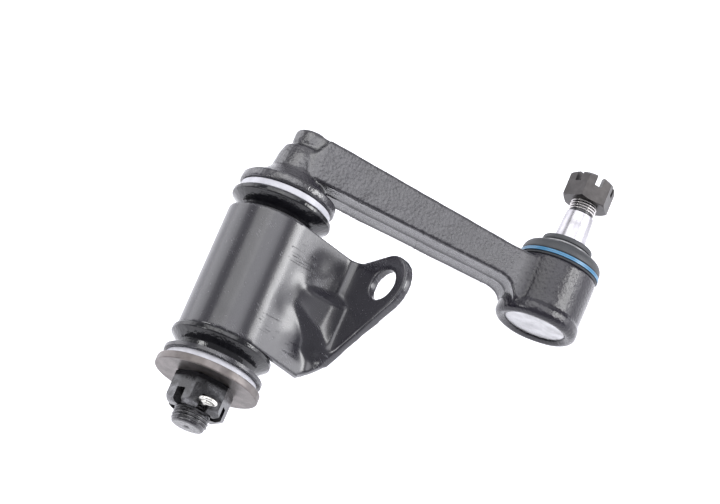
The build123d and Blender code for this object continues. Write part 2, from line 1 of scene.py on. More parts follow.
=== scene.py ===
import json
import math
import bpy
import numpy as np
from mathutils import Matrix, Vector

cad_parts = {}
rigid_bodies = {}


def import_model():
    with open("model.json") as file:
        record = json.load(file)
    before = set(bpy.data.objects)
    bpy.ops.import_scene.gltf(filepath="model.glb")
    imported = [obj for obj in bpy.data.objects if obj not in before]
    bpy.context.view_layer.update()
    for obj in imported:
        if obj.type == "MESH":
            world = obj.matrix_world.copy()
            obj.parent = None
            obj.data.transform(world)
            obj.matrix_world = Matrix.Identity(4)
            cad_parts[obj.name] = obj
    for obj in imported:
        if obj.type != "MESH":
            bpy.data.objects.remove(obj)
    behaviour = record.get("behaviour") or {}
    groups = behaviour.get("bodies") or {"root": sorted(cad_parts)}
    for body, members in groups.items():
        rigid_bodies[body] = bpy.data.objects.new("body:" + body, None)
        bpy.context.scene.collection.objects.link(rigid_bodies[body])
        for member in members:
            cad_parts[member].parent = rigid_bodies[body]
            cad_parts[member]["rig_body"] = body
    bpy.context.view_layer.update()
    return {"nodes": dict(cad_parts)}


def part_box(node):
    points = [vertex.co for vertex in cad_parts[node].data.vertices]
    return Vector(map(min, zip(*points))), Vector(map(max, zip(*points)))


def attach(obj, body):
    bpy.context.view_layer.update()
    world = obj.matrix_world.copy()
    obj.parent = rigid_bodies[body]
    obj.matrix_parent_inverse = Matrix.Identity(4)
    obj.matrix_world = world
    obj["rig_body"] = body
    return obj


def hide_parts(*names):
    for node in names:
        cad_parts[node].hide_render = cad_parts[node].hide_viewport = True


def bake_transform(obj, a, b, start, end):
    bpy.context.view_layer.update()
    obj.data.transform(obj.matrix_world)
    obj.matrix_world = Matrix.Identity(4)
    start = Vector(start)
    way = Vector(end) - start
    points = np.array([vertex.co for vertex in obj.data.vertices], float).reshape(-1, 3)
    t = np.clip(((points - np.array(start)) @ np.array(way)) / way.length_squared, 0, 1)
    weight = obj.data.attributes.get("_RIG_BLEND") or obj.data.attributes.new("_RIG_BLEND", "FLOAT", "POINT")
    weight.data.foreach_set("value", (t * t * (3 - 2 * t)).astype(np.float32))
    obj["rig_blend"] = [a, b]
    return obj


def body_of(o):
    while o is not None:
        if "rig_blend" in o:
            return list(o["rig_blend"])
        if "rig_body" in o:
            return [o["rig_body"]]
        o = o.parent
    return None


bl_info = {
    "name": "Steering Idler Arm",
    "version": (1, 0, 0),
    "blender": (4, 5, 0),
    "location": "View3D > Sidebar > Idler Arm",
    "description": "Dresses the idler arm's solids in paint, rubber and steel, and sets its studio",
    "category": "Object",
}

import bmesh
import bpy
import numpy
from mathutils import Matrix, Vector, noise

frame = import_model()
NODES = frame["nodes"]


def middle(node):
    """Middle of a node's box at rest, in metres."""
    low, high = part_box(node)
    return (low + high) / 2


# Axes and directions of the part, in metres like every size below
PIVOT = Vector((middle("pivot_washer").x, middle("pivot_washer").y, 0))
BALL_AXIS = Vector((middle("boot_band_ring").x, middle("boot_band_ring").y, 0))
ARM_DIRECTION = (BALL_AXIS - PIVOT).normalized()
ARM_SIDE = Vector((ARM_DIRECTION.y, -ARM_DIRECTION.x, 0))
BOOT_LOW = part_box("dust_boot")[0].z

# Size of the even mesh that the bracket and the forging are shaped on
MESH_CELL = 0.0006

# Front faces of the bracket as (normal, offset), and the bend that joins them
LEG_FACE = ((0, -1, 0), 0.0211)
EAR_FACE = ((-1, 0, 0), 0.0041)
BEND_CENTRE = (-0.0086, -0.0256, 0)
BEND_RADIUS = 0.0045
BEND_LINE = (-0.006, -0.023, 0)
BEND_MIDDLE = (0, 0, 0.002)

# Dart pressed into the bend: its middle, reach and wall, and its facets as (normal, corner)
DART_CENTRE = (-0.013, -0.026, 0.001)
DART_REACH = 0.021
DART_HEIGHT = 0.011
DART_WALL = 0.0035
DART_FACETS = (
    ((-0.375, -0.927, 0.0), (-0.0260, -0.0211, 0.0008)),
    ((-0.393, -0.815, 0.426), (-0.0248, -0.0211, 0.0058)),
    ((-0.240, -0.655, 0.717), (-0.0100, -0.0276, 0.0050)),
    ((-0.156, -0.988, -0.020), (-0.0110, -0.0270, -0.0010)),
    ((-0.539, -0.636, -0.552), (-0.0121, -0.0267, -0.0085)),
)

# Shallow dents of the press as (centre, radius, push)
PRESS_MARKS = (
    ((-0.0200, -0.0211, 0.0190), 0.0055, (0, 0.0006, 0)),
    ((-0.0250, -0.0211, 0.0070), 0.0045, (0, -0.0007, 0)),
    ((-0.0120, -0.0211, -0.0180), 0.0050, (0, 0.0012, 0)),
    ((-0.0200, -0.0211, -0.0130), 0.0065, (0, -0.0006, 0)),
    ((-0.0060, -0.0250, -0.0150), 0.0045, (-0.0008, -0.0008, 0)),
    ((-0.0290, -0.0211, -0.0060), 0.0060, (0, 0.0005, 0)),
)

# Scratched patches of the bracket's paint as (centre, radius)
SCUFFS = (
    ((-0.0310, -0.0211, 0.0160), 0.0080),
    ((-0.0330, -0.0211, -0.0170), 0.0065),
    ((-0.0170, -0.0211, -0.0210), 0.0055),
)

# Filler between the pin's head and the bar: a round end and two pairs of corners on the bar
FILLER_RADIUS = 0.0070
FILLER_HEIGHTS = (0.060, 0.0722)
FILLER_CORNERS = ((0.009, 0.0098, 0.060), (0.0088, 0.0092, 0.0716))
HEAD_HEIGHT = 0.068

# Housing's radius where its wetter paint ends, and the forged skin's unevenness
HOUSING_EDGE = (0.0185, 0.0215)
SKIN_SCALE = 130
SKIN_DEPTH = 0.00014

# Screw threads as root radius, crest radius, pitch, and lowest and highest point
PIVOT_THREAD = (0.00735, 0.0080, 0.0015, -0.0677, -0.0480)
STUD_THREAD = (0.0054, 0.0060, 0.00125, 0.0938, 0.1069)
# Height on the stud above which its steel is painted nearly black, as painted shade in the thread's grooves
STUD_BRIGHT_TOP = 0.0935
PIVOT_NUT_TOP = (-0.0505, -0.0495)
BUSH_SPRAY_RADII = (0.0150, 0.0155)

# Colours that more than one material shares
OVERSPRAY = (0.008, 0.008, 0.01)
PIVOT_STEEL = (0.12, 0.12, 0.125)

# Camera at the photograph's viewing angle
CAMERA_RIGHT = Vector((0.652779, -0.657994, 0.3754))
CAMERA_UP = Vector((-0.488696, 0.012873, 0.87236))
CAMERA_BACK = Vector((-0.578836, -0.752913, -0.31315))
CAMERA_PLACE = Vector((-1.070148, -1.407412, -0.542488))
CAMERA_LENS = 215.05
SENSOR_WIDTH = 36
CLIP_END = 20

# Table, kept below the arm's whole swing in degrees to each side
SWING_LIMIT = 45
SWING_STEP = 5
TABLE_GAP = 0.001
TABLE_REACH = 6.0
TABLE_MIDDLE = (0.01, -0.01, 0.02)

# Light patches as (direction across, up and back), width in degrees and strength
LIGHT_PATCHES = (
    ((-0.72, 0.62, -0.25), 30, 2.6),
    ((0.32, 0.55, 0.78), 27, 3.2),
    ((1.00, 0.00, 0.10), 22, 4.2),
    ((0.3, 0.95, 0.0), 38, 0.9),
)
LIGHT_BASE = 0.4
LAMP_FOCUS = (0.0, -0.02, 0.02)


class Surface:
    """A material whose colour, roughness and relief come from procedural nodes."""

    def __init__(self, name):
        self.material = bpy.data.materials.new(name)
        self.material.use_nodes = True
        self.tree = self.material.node_tree
        self.shader = self.tree.nodes["Principled BSDF"]
        self.coordinates = self.tree.nodes.new("ShaderNodeTexCoord")
        self.relief = None

    def link(self, source, target):
        self.tree.links.new(source, target)

    def place(self, scale=(1, 1, 1), turn=(0, 0, 0), origin=(0, 0, 0)):
        """Object coordinates, moved, turned and scaled."""
        mapping = self.tree.nodes.new("ShaderNodeMapping")
        mapping.vector_type = "TEXTURE"
        mapping.inputs["Location"].default_value = origin
        mapping.inputs["Rotation"].default_value = turn
        mapping.inputs["Scale"].default_value = [1 / s for s in scale]
        self.link(self.coordinates.outputs["Object"], mapping.inputs["Vector"])
        return mapping.outputs["Vector"]

    def noise(self, scale, detail=4, rough=0.55, vector=None):
        """Noise factor at a scale in features per metre."""
        node = self.tree.nodes.new("ShaderNodeTexNoise")
        node.inputs["Scale"].default_value = scale
        node.inputs["Detail"].default_value = detail
        node.inputs["Roughness"].default_value = rough
        self.link(vector or self.coordinates.outputs["Object"], node.inputs["Vector"])
        return node.outputs["Fac"]

    def dimples(self, scale):
        """Distance to the nearest cell centre at a scale in cells per metre."""
        node = self.tree.nodes.new("ShaderNodeTexVoronoi")
        node.inputs["Scale"].default_value = scale
        self.link(self.coordinates.outputs["Object"], node.inputs["Vector"])
        return node.outputs["Distance"]

    def edges(self, low, high):
        """Rises from nothing to one on edges between two levels of sharpness."""
        node = self.tree.nodes.new("ShaderNodeNewGeometry")
        return self.span(node.outputs["Pointiness"], low, high)

    def height(self, low, high):
        """Rises from nothing to one between two heights in metres."""
        node = self.tree.nodes.new("ShaderNodeSeparateXYZ")
        self.link(self.coordinates.outputs["Object"], node.inputs["Vector"])
        return self.span(node.outputs["Z"], low, high)

    def spot(self, centre, inner, outer):
        """One near a point in the object, fading to nothing further off."""
        node = self.tree.nodes.new("ShaderNodeVectorMath")
        node.operation = "DISTANCE"
        node.inputs[1].default_value = centre
        self.link(self.coordinates.outputs["Object"], node.inputs[0])
        return self.span(node.outputs["Value"], inner, outer, 1.0, 0.0)

    def distance(self, axis, low, high):
        """Rises from nothing to one between two distances from a vertical axis."""
        offset = self.tree.nodes.new("ShaderNodeVectorMath")
        offset.operation = "SUBTRACT"
        offset.inputs[1].default_value = axis
        flat = self.tree.nodes.new("ShaderNodeVectorMath")
        flat.operation = "MULTIPLY"
        flat.inputs[1].default_value = (1, 1, 0)
        length = self.tree.nodes.new("ShaderNodeVectorMath")
        length.operation = "LENGTH"
        self.link(self.coordinates.outputs["Object"], offset.inputs[0])
        self.link(offset.outputs["Vector"], flat.inputs[0])
        self.link(flat.outputs["Vector"], length.inputs[0])
        return self.span(length.outputs["Value"], low, high)

    def ramp(self, factor, stops):
        """Colour ramp from (position, colour) stops."""
        node = self.tree.nodes.new("ShaderNodeValToRGB")
        elements = node.color_ramp.elements
        while len(elements) < len(stops):
            elements.new(0.5)
        for element, (position, colour) in zip(elements, stops):
            element.position = position
            element.color = (*colour, 1)
        self.link(factor, node.inputs["Fac"])
        return node.outputs["Color"]

    def span(self, factor, low, high, out_low=0.0, out_high=1.0):
        """Factor stretched from one range to another and clamped."""
        node = self.tree.nodes.new("ShaderNodeMapRange")
        node.inputs["From Min"].default_value = low
        node.inputs["From Max"].default_value = high
        node.inputs["To Min"].default_value = out_low
        node.inputs["To Max"].default_value = out_high
        self.link(factor, node.inputs["Value"])
        return node.outputs["Result"]

    def math(self, kind, first, second):
        """Result of an operation on two factors or numbers."""
        node = self.tree.nodes.new("ShaderNodeMath")
        node.operation = kind
        for socket, value in zip(node.inputs, (first, second)):
            if isinstance(value, (int, float)):
                socket.default_value = value
            else:
                self.link(value, socket)
        return node.outputs["Value"]

    def mix(self, factor, first, second):
        """Mix of two colours, each a colour output or an RGB value."""
        node = self.tree.nodes.new("ShaderNodeMix")
        node.data_type = "RGBA"
        sockets = [s for s in node.inputs if s.type == "RGBA"]
        for socket, value in zip(sockets, (first, second)):
            if isinstance(value, tuple):
                socket.default_value = (*value, 1)
            else:
                self.link(value, socket)
        self.link(factor, node.inputs[0])
        return [s for s in node.outputs if s.type == "RGBA"][0]

    def bump(self, height, strength, distance):
        """Adds relief to the surface, on top of what it has."""
        node = self.tree.nodes.new("ShaderNodeBump")
        node.inputs["Strength"].default_value = strength
        node.inputs["Distance"].default_value = distance
        self.link(height, node.inputs["Height"])
        if self.relief is not None:
            self.link(self.relief, node.inputs["Normal"])
        self.relief = node.outputs["Normal"]
        self.link(self.relief, self.shader.inputs["Normal"])

    def set(self, **values):
        """Sets plain numbers or colours on the shader's own sockets."""
        for name, value in values.items():
            socket = self.shader.inputs[name.replace("_", " ")]
            socket.default_value = (*value, 1) if isinstance(value, tuple) else value

    def colour(self, output):
        self.link(output, self.shader.inputs["Base Color"])

    def roughness(self, output):
        self.link(output, self.shader.inputs["Roughness"])

    def metal(self, output):
        self.link(output, self.shader.inputs["Metallic"])


class LightTent:
    """World light with soft patches in chosen directions, told across, up and towards the camera."""

    def __init__(self, name, right, up, back):
        self.world = bpy.data.worlds.new(name)
        self.world.use_nodes = True
        self.tree = self.world.node_tree
        self.axes = (right, up, back)
        self.view = self.tree.nodes.new("ShaderNodeTexCoord").outputs["Generated"]
        self.total = None

    def lobe(self, direction, width, strength):
        """Adds a patch that fades to nothing at its width in degrees."""
        towards = sum((axis * part for axis, part in zip(self.axes, direction)), Vector())
        facing = self.tree.nodes.new("ShaderNodeVectorMath")
        facing.operation = "DOT_PRODUCT"
        facing.inputs[1].default_value = towards.normalized()
        self.tree.links.new(self.view, facing.inputs[0])
        fade = self.tree.nodes.new("ShaderNodeMapRange")
        fade.interpolation_type = "SMOOTHSTEP"
        fade.inputs["From Min"].default_value = math.cos(math.radians(width))
        fade.inputs["From Max"].default_value = 1.0
        fade.inputs["To Max"].default_value = strength
        self.tree.links.new(facing.outputs["Value"], fade.inputs["Value"])
        if self.total is None:
            self.total = fade.outputs["Result"]
            return
        add = self.tree.nodes.new("ShaderNodeMath")
        self.tree.links.new(self.total, add.inputs[0])
        self.tree.links.new(fade.outputs["Result"], add.inputs[1])
        self.total = add.outputs["Value"]

    def finish(self, base, strength):
        """Lights the world with the patches over an even base."""
        level = self.tree.nodes.new("ShaderNodeMapRange")
        level.clamp = False
        level.inputs["To Min"].default_value = base * strength
        level.inputs["To Max"].default_value = (base + 1) * strength
        self.tree.links.new(self.total, level.inputs["Value"])
        background = self.tree.nodes["Background"]
        background.inputs["Color"].default_value = (0.96, 0.96, 1.0, 1)
        self.tree.links.new(level.outputs["Result"], background.inputs["Strength"])


def dress(node, surface):
    """Gives every slot of a CAD node one material."""
    mesh = NODES[node].data
    if not mesh.materials:
        mesh.materials.append(surface.material)
    for index in range(len(mesh.materials)):
        mesh.materials[index] = surface.material


def add_piece(name, mesh, surface, smooth=True):
    """New object from a finished mesh, in the row frame."""
    mesh.materials.append(surface.material)
    for polygon in mesh.polygons:
        polygon.use_smooth = smooth
    piece = bpy.data.objects.new(name, mesh)
    bpy.context.scene.collection.objects.link(piece)
    return piece


def turned_mesh(name, profile, axis, segments=96):
    """Closed mesh of revolution about a vertical axis from a closed (r, z) profile."""
    work = bmesh.new()
    rings = []
    for step in range(segments):
        angle = 2 * math.pi * step / segments
        x, y = math.cos(angle), math.sin(angle)
        rings.append([work.verts.new((axis.x + r * x, axis.y + r * y, z)) for r, z in profile])
    for step in range(segments):
        here, there = rings[step], rings[(step + 1) % segments]
        for corner in range(len(profile)):
            after = (corner + 1) % len(profile)
            work.faces.new((here[corner], there[corner], there[after], here[after]))
    bmesh.ops.recalc_face_normals(work, faces=work.faces)
    mesh = bpy.data.meshes.new(name)
    work.to_mesh(mesh)
    work.free()
    return mesh


def thread_mesh(name, axis, root, crest, pitch, low, high, segments=40):
    """Helical ridge of a screw thread on a vertical axis, faded out at both ends."""
    work = bmesh.new()
    steps = int((high - low - pitch) / pitch * segments)
    rings = []
    for step in range(steps + 1):
        angle = 2 * math.pi * step / segments
        z = low + pitch / 2 + pitch * step / segments
        fade = min(1.0, step / (segments * 0.6), (steps - step) / (segments * 0.6))
        outer = root + (crest - root) * fade
        x, y = math.cos(angle), math.sin(angle)
        corners = [
            (root - 0.0002, z - pitch * 0.46),
            (outer, z - pitch * 0.09),
            (outer, z + pitch * 0.09),
            (root - 0.0002, z + pitch * 0.46),
        ]
        rings.append([work.verts.new((axis.x + r * x, axis.y + r * y, h)) for r, h in corners])
    for here, there in zip(rings, rings[1:]):
        for corner in range(4):
            after = (corner + 1) % 4
            work.faces.new((here[corner], there[corner], there[after], here[after]))
    work.faces.new(rings[0])
    work.faces.new(rings[-1])
    bmesh.ops.recalc_face_normals(work, faces=work.faces)
    mesh = bpy.data.meshes.new(name)
    work.to_mesh(mesh)
    work.free()
    return mesh


def even_copy(name, node, cell, hulls=()):
    """Evenly meshed copy of a CAD solid, joined with the hulls of extra points."""
    work = bmesh.new()
    work.from_mesh(NODES[node].data)
    work.transform(NODES[node].matrix_world)
    bmesh.ops.remove_doubles(work, verts=work.verts, dist=1e-6)
    for points in hulls:
        corners = [work.verts.new(point) for point in points]
        hull = bmesh.ops.convex_hull(work, input=corners)
        loose = set(hull["geom_unused"]) | set(hull["geom_interior"])
        bmesh.ops.delete(work, geom=list(loose), context="VERTS")
    source = bpy.data.meshes.new(name + "_source")
    work.to_mesh(source)
    work.free()
    holder = bpy.data.objects.new(name + "_source", source)
    bpy.context.scene.collection.objects.link(holder)
    even = holder.modifiers.new("even", "REMESH")
    even.mode = "VOXEL"
    even.voxel_size = cell
    graph = bpy.context.evaluated_depsgraph_get()
    mesh = bpy.data.meshes.new_from_object(holder.evaluated_get(graph))
    mesh.name = name
    mesh.materials.clear()
    bpy.data.objects.remove(holder)
    bpy.data.meshes.remove(source)
    return mesh


def mesh_points(mesh):
    """Vertex positions of a mesh as rows of x, y, z."""
    points = numpy.empty(len(mesh.vertices) * 3)
    mesh.vertices.foreach_get("co", points)
    return points.reshape(-1, 3)


def mesh_normals(mesh):
    """Vertex normals of a mesh as rows of x, y, z."""
    normals = numpy.empty(len(mesh.vertices) * 3)
    mesh.vertices.foreach_get("normal", normals)
    return normals.reshape(-1, 3)


def move_points(mesh, points):
    """Puts a mesh's vertices at new positions."""
    mesh.vertices.foreach_set("co", points.ravel())
    mesh.update()


def near(points, centre, inner, outer):
    """Weight of each point, 1 inside the inner distance and 0 past the outer one."""
    distance = numpy.linalg.norm(points - numpy.array(centre), axis=1)
    step = numpy.clip((outer - distance) / (outer - inner), 0, 1)
    return step * step * (3 - 2 * step)


def soften(mesh, weights, rounds):
    """Draws each vertex towards the middle of its neighbours by its weight."""
    points = mesh_points(mesh)
    count = len(points)
    ends = numpy.empty(len(mesh.edges) * 2, dtype=numpy.int64)
    mesh.edges.foreach_get("vertices", ends)
    first, second = ends[0::2], ends[1::2]
    neighbours = numpy.bincount(first, minlength=count) + numpy.bincount(second, minlength=count)
    for _ in range(rounds):
        middles = numpy.empty_like(points)
        for k in range(3):
            total = numpy.bincount(first, weights=points[second, k], minlength=count)
            total += numpy.bincount(second, weights=points[first, k], minlength=count)
            middles[:, k] = total / neighbours
        points += (middles - points) * (weights * 0.6)[:, None]
    move_points(mesh, points)


def swell(points, centre, radius, push):
    """Pushes points near a centre along a vector, most at the centre."""
    distance = numpy.linalg.norm(points - numpy.array(centre), axis=1)
    return points + numpy.exp(-((distance / radius) ** 2))[:, None] * numpy.array(push)


def press_dart(mesh, side):
    """Reshapes a corner between leg and ear into a pressed dart, side 1 in front and -1 behind."""
    points = mesh_points(mesh) * (1, side, side)
    outward = numpy.array((-1, -1, 0)) / math.sqrt(2)
    across = numpy.array((-1, 1, 0)) / math.sqrt(2)
    height = points @ outward
    flat = points - height[:, None] * outward

    def plane_height(normal, offset):
        normal = numpy.array(normal) / numpy.linalg.norm(normal)
        return (offset - flat @ normal) / (normal @ outward)

    base = numpy.maximum(plane_height(*LEG_FACE), plane_height(*EAR_FACE))
    centre = numpy.array(BEND_CENTRE)
    aside = points @ across - centre @ across
    in_bend = numpy.abs(aside) < BEND_RADIUS * math.sin(math.pi / 4)
    round_height = centre @ outward - numpy.sqrt(numpy.maximum(BEND_RADIUS**2 - aside**2, 0))
    base = numpy.where(in_bend, round_height, base)
    dart = numpy.full(len(points), 1.0)
    for normal, corner in DART_FACETS:
        normal = numpy.array(normal) / numpy.linalg.norm(normal)
        dart = numpy.minimum(dart, plane_height(normal, normal @ numpy.array(corner)))
    target = numpy.maximum(base, dart)
    outer_skin = (mesh_normals(mesh) * (1, side, side)) @ outward > 0
    in_reach = near(points, DART_CENTRE, DART_REACH, DART_REACH + 0.0001) > 0.5
    in_reach &= height < base + DART_HEIGHT
    front = outer_skin & in_reach & (height > base - 0.0006)
    front &= numpy.abs(target - height) > 0.0001
    room = target - DART_WALL
    behind = ~outer_skin & in_reach & (height > room)
    shift = numpy.where(front, target - height, 0.0)
    shift = numpy.where(behind, room - height, shift)
    move_points(mesh, (points + shift[:, None] * outward) * (1, side, side))


def roughen(mesh, scale, depth):
    """Moves vertices in and out a little, as an uneven forged skin."""
    points = mesh_points(mesh)
    heights = numpy.array([noise.noise(Vector(point) * scale) for point in points])
    move_points(mesh, points + mesh_normals(mesh) * (heights * depth)[:, None])


def cast_paint(name, colour, grain, depth):
    """Wet-looking black paint over rough forged steel, thin on the edges and smoother on the housing, with
    painted shade darkening its concave creases.
    """
    surface = Surface(name)
    coarse = surface.noise(grain, detail=5, rough=0.62)
    pits = surface.dimples(grain * 1.2)
    fine = surface.noise(grain * 4, detail=3, rough=0.5)
    tint = surface.noise(60, detail=3)
    pale = tuple(c * 1.8 for c in colour)
    base = surface.ramp(tint, [(0.3, colour), (0.75, pale)])
    # Painted shade: concave creases are coloured nearly black, where shade would fall.
    painted_crease_shade = surface.edges(0.493, 0.47)
    shaded = surface.mix(painted_crease_shade, base, (0.003, 0.003, 0.004))
    wear = surface.math("MULTIPLY", surface.edges(0.55, 0.6), surface.span(coarse, 0.5, 0.58))
    surface.colour(surface.mix(wear, shaded, (0.22, 0.22, 0.235)))
    beyond_housing = surface.distance(BALL_AXIS, *HOUSING_EDGE)
    rough = surface.span(coarse, 0.35, 0.65, 0.14, 0.3)
    surface.roughness(surface.math("MULTIPLY", rough, surface.span(beyond_housing, 0, 1, 0.6, 1.0)))
    surface.bump(coarse, 0.28, depth)
    surface.bump(pits, 0.3, depth * 0.6)
    surface.bump(fine, 0.12, depth * 0.25)
    surface.set(Coat_Weight=0.12, Coat_Roughness=0.06)
    shine = surface.span(beyond_housing, 0, 1, 0.42, 1.0)
    surface.link(shine, surface.shader.inputs["Specular IOR Level"])
    return surface


def gloss_paint(name, colour, scuffed=()):
    """Smooth black paint with small scratches, chipped edges and scuffs at the points given."""
    surface = Surface(name)
    wave = surface.noise(70, detail=2, rough=0.4)
    peel = surface.noise(900, detail=2, rough=0.5)
    scuffs = surface.place(scale=(1, 1, 7), turn=(0.5, 0.35, 0.2))
    lines = surface.noise(420, detail=5, rough=0.7, vector=scuffs)
    patch = surface.noise(55, detail=2)
    worn = surface.math("MULTIPLY", surface.span(lines, 0.57, 0.64), surface.span(patch, 0.52, 0.62))
    slim = surface.place(scale=(1, 9, 9), turn=(0.3, 0.9, -0.4))
    nicks = surface.span(surface.noise(190, detail=4, rough=0.6, vector=slim), 0.68, 0.73)
    specks = surface.span(surface.dimples(420), 0.05, 0.12, 1.0, 0.0)
    chips = surface.math("MULTIPLY", specks, surface.span(surface.noise(110, detail=2), 0.58, 0.62))
    rubbed = surface.math("MULTIPLY", surface.edges(0.53, 0.57), surface.span(lines, 0.45, 0.55))
    marks = surface.math("MAXIMUM", surface.math("MAXIMUM", worn, nicks), chips)
    marks = surface.math("MAXIMUM", marks, rubbed)
    surface.colour(surface.mix(marks, colour, (0.2, 0.2, 0.22)))
    surface.roughness(surface.span(marks, 0, 1, 0.27, 0.5))
    surface.bump(wave, 0.3, 0.0007)
    surface.bump(peel, 0.12, 0.00008)
    surface.bump(lines, 0.06, 0.0001)
    for centre, radius in scuffed:
        along = surface.place(scale=(1, 1, 0.03), turn=(0, math.pi / 2 - 0.1, 0))
        strokes = surface.span(surface.noise(900, detail=3, rough=0.7, vector=along), 0.6, 0.65)
        scratched = surface.math("MULTIPLY", strokes, surface.spot(centre, radius * 0.6, radius))
        surface.bump(scratched, 0.9, 0.0003)
    surface.set(Specular_IOR_Level=0.72, Coat_Weight=0.12, Coat_Roughness=0.12)
    return surface


def plain_metal(name, colour, rough, grain=700, turned_about=None, painted_shade_above=None):
    """Bare or plated steel with fine grain and a little uneven tone, painted nearly black as shade above a
    height if one is given.
    """
    surface = Surface(name)
    tone = surface.noise(grain * 0.25, detail=4)
    pale = tuple(min(1.0, c * 1.25) for c in colour)
    dark = tuple(c * 0.72 for c in colour)
    shade = surface.ramp(tone, [(0.3, dark), (0.7, pale)])
    if painted_shade_above is not None:
        # Painted shade: nearly black steel above the given height.
        shade = surface.mix(surface.height(painted_shade_above, painted_shade_above + 0.0002), shade, (0.05, 0.05, 0.052))
    surface.colour(shade)
    fine = surface.noise(grain * 3, detail=3)
    surface.roughness(surface.span(fine, 0.3, 0.7, rough * 0.8, rough * 1.2))
    if turned_about is not None:
        squeezed = surface.place(scale=(1, 1, 30), origin=turned_about)
        surface.bump(surface.noise(160, detail=3, vector=squeezed), 0.15, 0.00008)
    surface.bump(fine, 0.12, 0.00006)
    surface.set(Metallic=1.0)
    return surface


def sprayed_steel(name, colour, rough, share=0.5, low=None, high=None):
    """Steel with patches of black overspray, and bare steel between them."""
    surface = Surface(name)
    tone = surface.noise(260, detail=5, rough=0.6)
    pale = tuple(min(1.0, c * 1.5) for c in colour)
    steel = surface.ramp(tone, [(0.3, colour), (0.7, pale)])
    drops = surface.noise(110, detail=5, rough=0.6)
    spray = surface.span(drops, share - 0.09, share + 0.05, 1.0, 0.0)
    if low is not None:
        spray = surface.math("MAXIMUM", spray, surface.height(low, high))
    bare = surface.math("SUBTRACT", 1.0, spray)
    surface.colour(surface.mix(spray, steel, OVERSPRAY))
    surface.metal(bare)
    surface.roughness(surface.span(spray, 0, 1, rough, 0.16))
    surface.bump(drops, 0.4, 0.0003)
    surface.bump(surface.noise(1800, detail=3), 0.2, 0.00008)
    return surface


def moulded(name, colour, rough, depth=0.00006):
    """Moulded plastic or rubber with fine mottling."""
    surface = Surface(name)
    tone = surface.noise(250, detail=4)
    pale = tuple(min(1.0, c * 1.18 + 0.004) for c in colour)
    surface.colour(surface.ramp(tone, [(0.35, colour), (0.7, pale)]))
    grain = surface.noise(2600, detail=3)
    surface.roughness(surface.span(grain, 0.3, 0.7, rough * 0.85, rough * 1.15))
    surface.bump(grain, 0.25, depth)
    return surface


def lowest_in_travel(direction):
    """How far down a direction the part reaches, with the arm anywhere in its swing."""
    reach = []
    for node in NODES.values():
        points = mesh_points(node.data) - numpy.array(PIVOT)
        turns = [0] if body_of(node) == ["bracket"] else range(-SWING_LIMIT, SWING_LIMIT + 1, SWING_STEP)
        for degrees in turns:
            turned = Matrix.Rotation(-math.radians(degrees), 3, "Z") @ direction
            reach.append((points @ numpy.array(turned)).min())
    return min(reach) + PIVOT.dot(direction) - TABLE_GAP


class IdlerArmFinish(bpy.types.PropertyGroup):
    """Colours of the arm's paints, rubbers and metals."""

    cast_black: bpy.props.FloatVectorProperty(
        name="Cast black",
        description="Paint on the forged arm and ball housing",
        subtype="COLOR",
        size=3,
        min=0,
        max=1,
        default=(0.010, 0.009, 0.013),
    )
    gloss_black: bpy.props.FloatVectorProperty(
        name="Gloss black",
        description="Paint on the pressed bracket",
        subtype="COLOR",
        size=3,
        min=0,
        max=1,
        default=(0.019, 0.018, 0.024),
    )
    boot_grey: bpy.props.FloatVectorProperty(
        name="Boot rubber",
        description="Rubber of the ball joint's dust boot",
        subtype="COLOR",
        size=3,
        min=0,
        max=1,
        default=(0.03, 0.032, 0.036),
    )
    ring_blue: bpy.props.FloatVectorProperty(
        name="Band ring",
        description="Blue ring that clamps the boot",
        subtype="COLOR",
        size=3,
        min=0,
        max=1,
        default=(0.035, 0.18, 0.34),
    )
    washer_grey: bpy.props.FloatVectorProperty(
        name="Washer steel",
        description="Steel of the washer under the pivot",
        subtype="COLOR",
        size=3,
        min=0,
        max=1,
        default=(0.17, 0.155, 0.15),
    )
    bright_steel: bpy.props.FloatVectorProperty(
        name="Bright steel",
        description="Ground steel of the ball stud",
        subtype="COLOR",
        size=3,
        min=0,
        max=1,
        default=(0.4, 0.39, 0.415),
    )
    nut_grey: bpy.props.FloatVectorProperty(
        name="Nut steel",
        description="Dark finish of the castle nuts",
        subtype="COLOR",
        size=3,
        min=0,
        max=1,
        default=(0.055, 0.052, 0.052),
    )


class IdlerArmStudio(bpy.types.PropertyGroup):
    """Floor, lights and camera."""

    floor_tilt: bpy.props.FloatProperty(
        name="Floor tilt",
        description="Angle between the line of sight and the table top",
        subtype="ANGLE",
        default=math.radians(45),
    )
    soft_light: bpy.props.FloatProperty(
        name="Soft light",
        description="Power of the light over the table",
        unit="POWER",
        min=0,
        default=6.0,
    )
    surround: bpy.props.FloatProperty(
        name="Surround",
        description="Strength of the pale light tent",
        min=0,
        default=1.0,
    )


class IDLER_OT_bracket(bpy.types.Operator):
    """Paint the folded bracket and the tube inside it"""

    bl_idname = "idler.bracket"
    bl_label = "Bracket"

    def execute(self, context):
        finish = context.scene.idler_finish
        paint = gloss_paint("bracket_gloss_black", tuple(finish.gloss_black), SCUFFS)
        dress("bracket_pressing", paint)
        dress("bushing_tube", gloss_paint("tube_black", tuple(finish.gloss_black)))
        mesh = even_copy("pressed_bracket", "bracket_pressing", MESH_CELL)
        for side in (1, -1):
            points = mesh_points(mesh) * (1, side, side)
            press_dart(mesh, side)
            bend = near(points * (1, 1, 0), BEND_LINE, 0.004, 0.009)
            bend *= near(points * (0, 0, 1), BEND_MIDDLE, 0.016, 0.024)
            bend *= 1 - near(points, DART_CENTRE, 0.012, 0.018)
            soften(mesh, bend, 30)
            soften(mesh, near(points, DART_CENTRE, 0.018, 0.024), 12)
        points = mesh_points(mesh)
        for centre, radius, push in PRESS_MARKS:
            points = swell(points, centre, radius, push)
        move_points(mesh, points)
        soften(mesh, numpy.ones(len(points)), 2)
        bracket = add_piece("pressed_bracket", mesh, paint)
        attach(bracket, "bracket")
        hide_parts("bracket_pressing")
        return {"FINISHED"}


